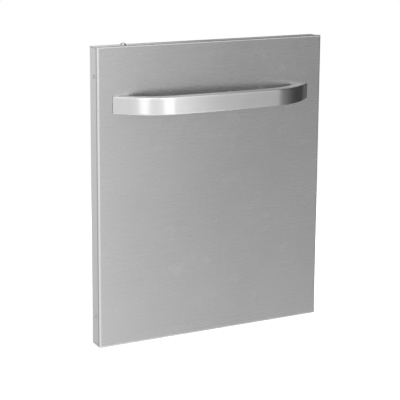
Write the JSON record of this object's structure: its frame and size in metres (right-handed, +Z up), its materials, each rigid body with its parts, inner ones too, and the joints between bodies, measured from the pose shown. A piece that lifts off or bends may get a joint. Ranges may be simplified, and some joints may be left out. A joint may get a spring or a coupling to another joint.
{
  "type": "access door",
  "caption": "Double-walled brushed stainless access door with a bowed tube pull, a ball catch and a full-height continuous hinge.",
  "frame": {"origin": "middle of the hinge's line of screw holes, on the face of the fixed leaf that lies on the island", "axes": "+Z up along the hinge, +Y out of the fixed leaf's mounting face into the island, +X from the latch side to the hinge side"},
  "size_m": [0.5174, 0.111, 0.6144],
  "materials": {
    "panel_steel": "fine level grain, satin",
    "pan_steel": "fine grain, satin",
    "channel_steel": "mill finish",
    "bar_steel": "grain along the bar, satin",
    "hinge_steel": "drawn strip",
    "fastener_steel": "turned stainless",
    "catch_steel": "turned stainless",
    "ball_chrome": "polished",
    "spring_steel": "drawn wire",
    "bumper_rubber": "matte"
  },
  "bodies": {
    "frame_side": {"hinge_frame_leaf": "hinge_steel", "hinge_pin": "fastener_steel"},
    "door": {"front_skin": "panel_steel", "rear_pan": "pan_steel", "latch_side_channel": "channel_steel", "hinge_side_channel": "channel_steel", "top_rail": "channel_steel", "bottom_rail": "channel_steel", "handle_bar": "bar_steel", "handle_blocks": "fastener_steel", "handle_studs": "fastener_steel", "handle_plate_left": "channel_steel", "handle_plate_right": "channel_steel", "handle_washers": "fastener_steel", "handle_nuts": "fastener_steel", "side_screws_latch": "fastener_steel", "side_nuts_latch": "fastener_steel", "side_screws_hinge": "fastener_steel", "side_nuts_hinge": "fastener_steel", "hinge_door_leaf": "hinge_steel", "hinge_rivets": "fastener_steel", "catch_barrel": "catch_steel", "catch_spring": "spring_steel", "catch_adjuster": "catch_steel", "catch_nut": "fastener_steel", "bumper_upper": "bumper_rubber", "bumper_lower": "bumper_rubber"},
    "ball": {"catch_ball": "ball_chrome"}
  },
  "joints": [
    {"name": "door_swing", "type": "hinge", "parent": "frame_side", "child": "door", "pos_m": [0.018, -0.003, 0], "axis": [0, 0, 1], "range_deg": [0, 95]},
    {"name": "catch_press", "type": "slide", "parent": "door", "child": "ball", "axis": [0, 0, 1], "range_m": [-0.0019, 0], "stiffness_N_per_m": 2500, "springref_m": 0.002, "deforming": ["catch_spring"]}
  ]
}
